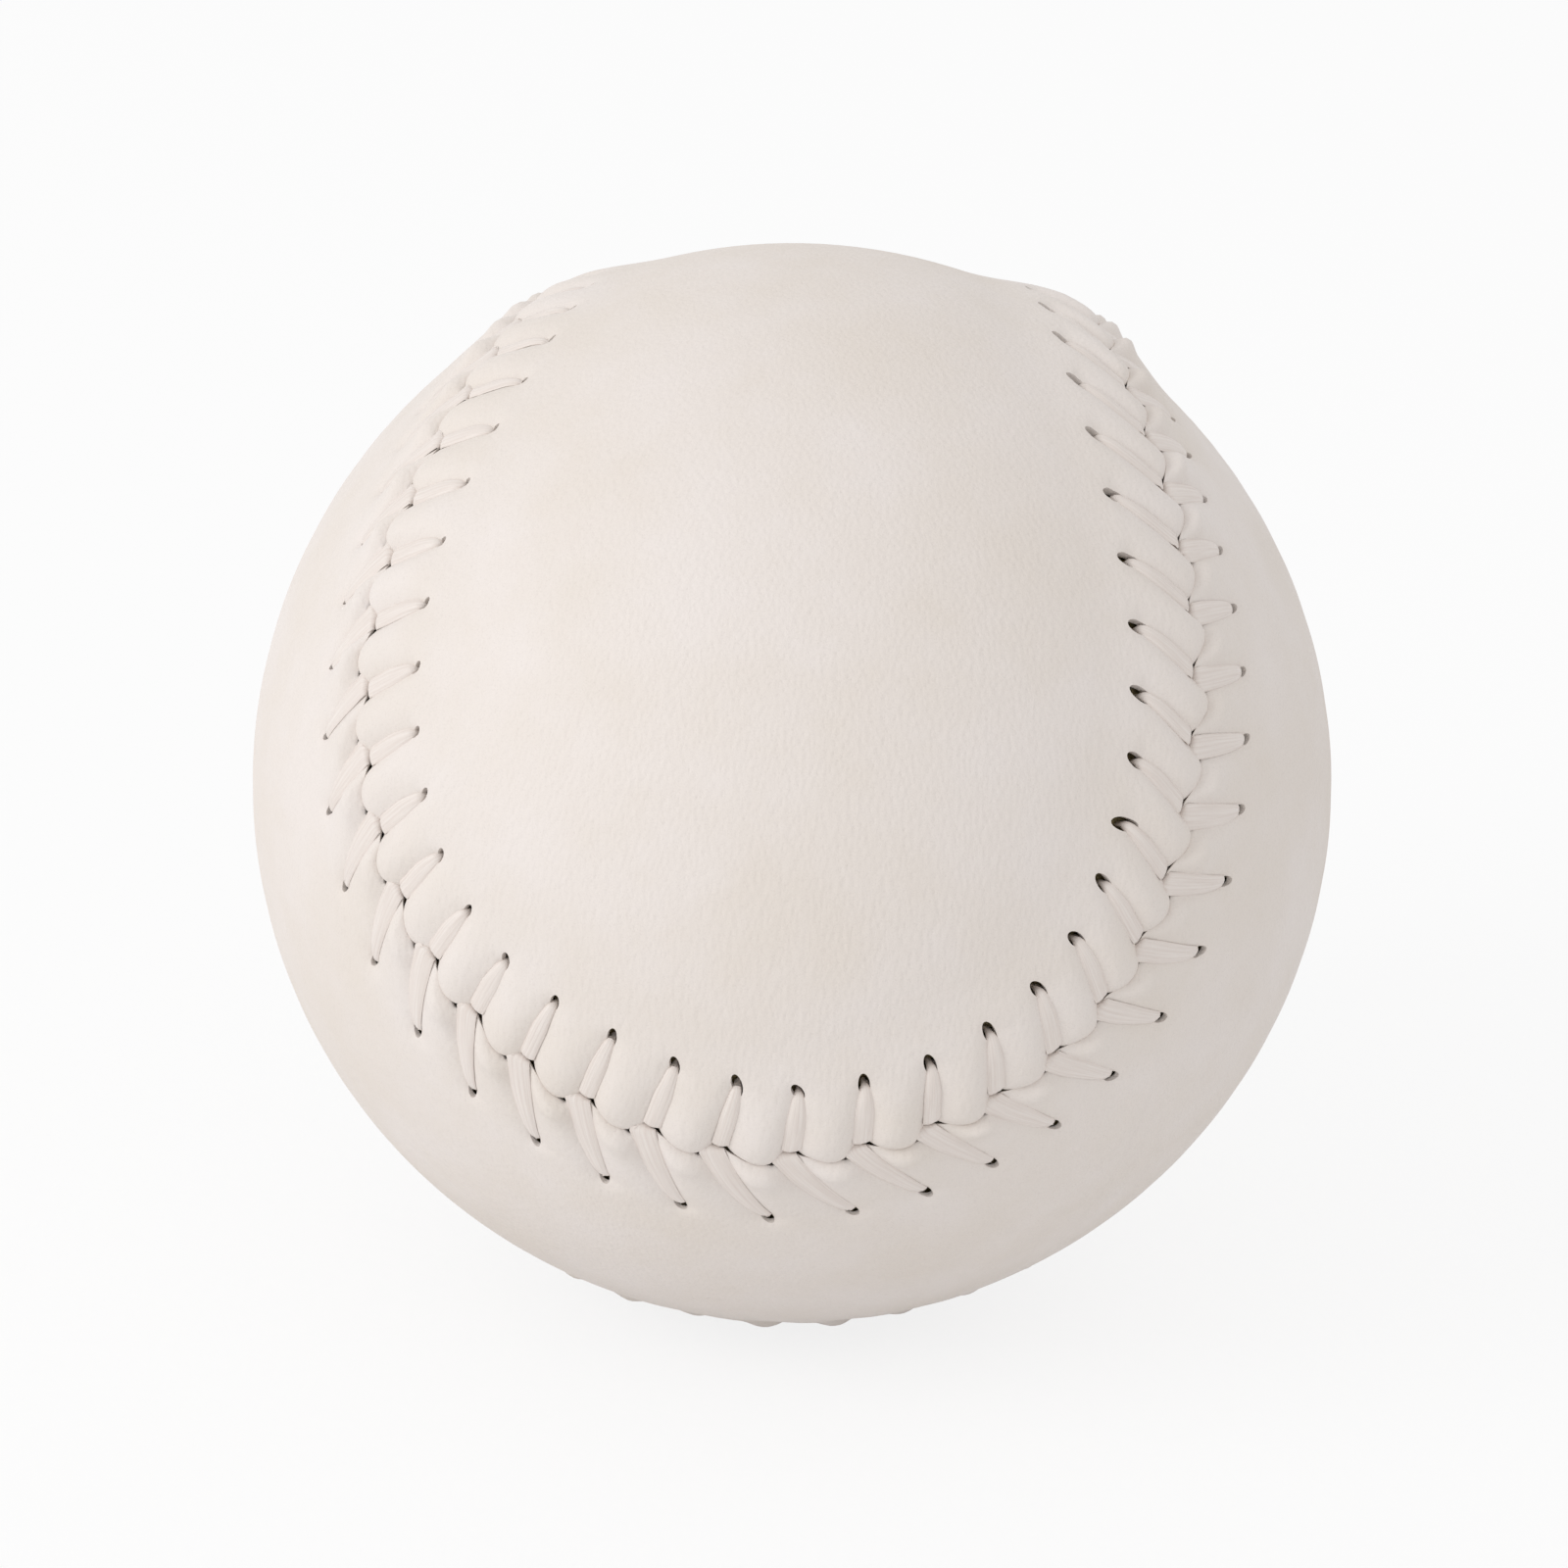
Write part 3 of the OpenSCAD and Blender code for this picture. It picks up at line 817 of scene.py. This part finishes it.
# Gives the eye: a strand a shade duller and warmer than the leather, with a soft sheen and fine lines.
waxed_thread, tree, shader = new_material("waxed_cotton_thread", 0.42, IOR=1.45)
place = add_node(tree, "TexCoord").outputs["UV"]
fibre_place = add_node(tree, "Mapping", {"Vector": place,
                                         "Scale": (STITCHES * FIBRES_ALONG, FIBRES_ACROSS, 1)})
fibre = add_node(tree, "TexNoise", {"Vector": fibre_place.outputs[0], "Scale": 1.0, "Detail": 5,
                                    "Roughness": 0.65})
shade = add_node(tree, "MapRange", {"Value": fibre.outputs[0], "From Min": 0.35, "From Max": 0.65})
colour = add_node(tree, "Mix", {0: shade.outputs[0], COLOUR_A: linear("#E8E0DA"),
                                COLOUR_B: linear("#DDD2CB")}, data_type="RGBA")
bump = add_node(tree, "Bump", {"Strength": 0.5, "Distance": FIBRE_DEPTH, "Height": fibre.outputs[0]})
tree.links.new(colour.outputs[COLOUR_OUT], shader.inputs["Base Color"])
tree.links.new(bump.outputs[0], shader.inputs["Normal"])

for piece in (thread_first, thread_second):
    piece.data.materials.append(waxed_thread)
    only(piece)
    bpy.ops.object.shade_smooth_by_angle(angle=math.radians(70))

# %% [markdown]
# ## The inside
# Under the cover the CAD shapes stay as they are, because nothing of them shows until the ball is opened.
# Each gets the finish of its own stuff: ground cork bound with rubber, grey wool yarn, fine cotton yarn
# wound at all angles, and a thin coat of dried latex. One helper mixes two tones by a noise whose size is
# that of the grains or of the yarn.

# %% Inner materials
GRAIN_LIFT = 0.2 * MM


def speckled(name, roughness, light, dark, size, stretch=(1, 1, 1)):
    material, tree, shader = new_material(name, roughness)
    place = add_node(tree, "TexCoord").outputs["Object"]
    spread = add_node(tree, "Mapping", {"Vector": place, "Scale": stretch})
    grains = add_node(tree, "TexNoise", {"Vector": spread.outputs[0], "Scale": 1 / size, "Detail": 6,
                                         "Roughness": 0.7, "Distortion": 0.6})
    tone = add_node(tree, "MapRange", {"Value": grains.outputs[0], "From Min": 0.38, "From Max": 0.62})
    colour = add_node(tree, "Mix", {0: tone.outputs[0], COLOUR_A: linear(dark), COLOUR_B: linear(light)},
                      data_type="RGBA")
    bump = add_node(tree, "Bump", {"Strength": 0.6, "Distance": GRAIN_LIFT, "Height": grains.outputs[0]})
    tree.links.new(colour.outputs[COLOUR_OUT], shader.inputs["Base Color"])
    tree.links.new(bump.outputs[0], shader.inputs["Normal"])
    return material


CORK_GRAIN = 1.6 * MM
WOOL_YARN = 0.9 * MM
COTTON_YARN = 0.5 * MM
LATEX_PATCH = 5 * MM
inner_finishes = {
    # Gives the eye: coarse brown granules, dull and tight, with dark rubber between them.
    "core": speckled("ground_cork_in_rubber", 0.8, "#B07A4E", "#4A3122", CORK_GRAIN),
    # Gives the eye: soft grey strands, all dull.
    "inner_winding": speckled("wound_wool_yarn", 0.95, "#B5B1A8", "#6F6B64", WOOL_YARN, (1, 1, 7)),
    # Gives the eye: fine cream strands, closer together than the wool.
    "outer_winding": speckled("wound_cotton_yarn", 0.9, "#E6DECF", "#A89E8C", COTTON_YARN, (7, 1, 1)),
    # Gives the eye: a smooth yellowish skin with a faint gloss.
    "latex_skin": speckled("dried_latex_coat", 0.35, "#CDBE94", "#B5A376", LATEX_PATCH),
}
for node, finish in inner_finishes.items():
    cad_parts[node].data.materials.clear()
    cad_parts[node].data.materials.append(finish)
    print(node, "is now", finish.name)

# %% [markdown]
# ## What each piece stands for
# The new pieces ride on the ball's one body, and stand for the CAD solids that they replace, which are
# hidden.

# %% Ride and replace
stands_for = {
    cover_front: ("cover_front", "cover_leather"),
    cover_back: ("cover_back", "cover_leather"),
    thread_first: ("thread_first", "waxed_thread"),
    thread_second: ("thread_second", "waxed_thread"),
}
for piece, (node, finish) in stands_for.items():
    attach(piece, "root")
    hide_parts(node)
    print(piece.name, "stands for", node)

# %% [markdown]
# ## Floor and light
# The ball stands on a plain pale floor. The floor and the world look white to the camera, and the floor
# still takes the ball's soft shadow. The light is a broad lamp from the upper left and an even fill from
# all round, at a level where the leather's colour comes out about as it is written. The lamp is big and
# near, so the pillows are shaded softly. The seam line is dark only by its depth, and the holes by their
# depth and by painted shade in the dark brown of their walls.

# %% Floor, lamps and world
FLOOR_SIZE = 8  # metres, past the edges of the picture
FLOOR_GLOW = 0.82  # the share of plain white that the camera sees in the floor
FILL_LEVEL = 0.82
KEY_PLACE = (-1.11, -0.7, 0.7)
KEY_SIZE = 0.8  # metres across
KEY_POWER = 6.9  # watts

bpy.ops.object.select_all(action="DESELECT")
bpy.ops.mesh.primitive_plane_add(size=FLOOR_SIZE, location=(0, 0, -BALL_R * MM))
floor = bpy.context.object
floor.name = "floor"


def seen_directly(tree):
    """1 where a camera, glossy or transmission ray looks, and 0 for the light that falls on things."""
    path = add_node(tree, "LightPath")
    both = add_node(tree, "Math", {0: path.outputs["Is Camera Ray"], 1: path.outputs["Is Glossy Ray"]},
                    operation="MAXIMUM")
    return add_node(tree, "Math", {0: both.outputs[0], 1: path.outputs["Is Transmission Ray"]},
                    operation="MAXIMUM").outputs[0]


# Gives the eye: a plain dull white with nothing on it but the ball's soft shadow.
floor_paint, tree, shader = new_material("matt_white_floor", 0.9)
shader.inputs["Base Color"].default_value = linear("#F3F3F3")
shader.inputs["Specular IOR Level"].default_value = 0
glow = add_node(tree, "Emission", {"Color": (1, 1, 1, 1), "Strength": 1.0})
part = add_node(tree, "Math", {0: seen_directly(tree), 1: FLOOR_GLOW}, operation="MULTIPLY")
both = add_node(tree, "MixShader", {0: part.outputs[0], 1: shader.outputs[0], 2: glow.outputs[0]})
tree.links.new(both.outputs[0], tree.nodes["Material Output"].inputs["Surface"])
floor.data.materials.append(floor_paint)

world = bpy.data.worlds.new("soft_fill")
bpy.context.scene.world = world
world.use_nodes = True
tree = world.node_tree
level = add_node(tree, "Mix", {0: seen_directly(tree), 2: FILL_LEVEL, 3: 1.0}, data_type="FLOAT")
tree.nodes["Background"].inputs["Color"].default_value = (1, 1, 1, 1)
tree.links.new(level.outputs[0], tree.nodes["Background"].inputs["Strength"])


def lamp(name, place, size, power):
    bpy.ops.object.light_add(type="AREA", location=Vector(place))
    light = bpy.context.object
    light.name = name
    light.data.shape = "DISK"
    light.data.size = size
    light.data.energy = power
    light.rotation_euler = Vector(place).to_track_quat("Z", "Y").to_euler()


lamp("key_lamp", KEY_PLACE, KEY_SIZE, KEY_POWER)
bpy.context.scene.view_settings.view_transform = "Standard"
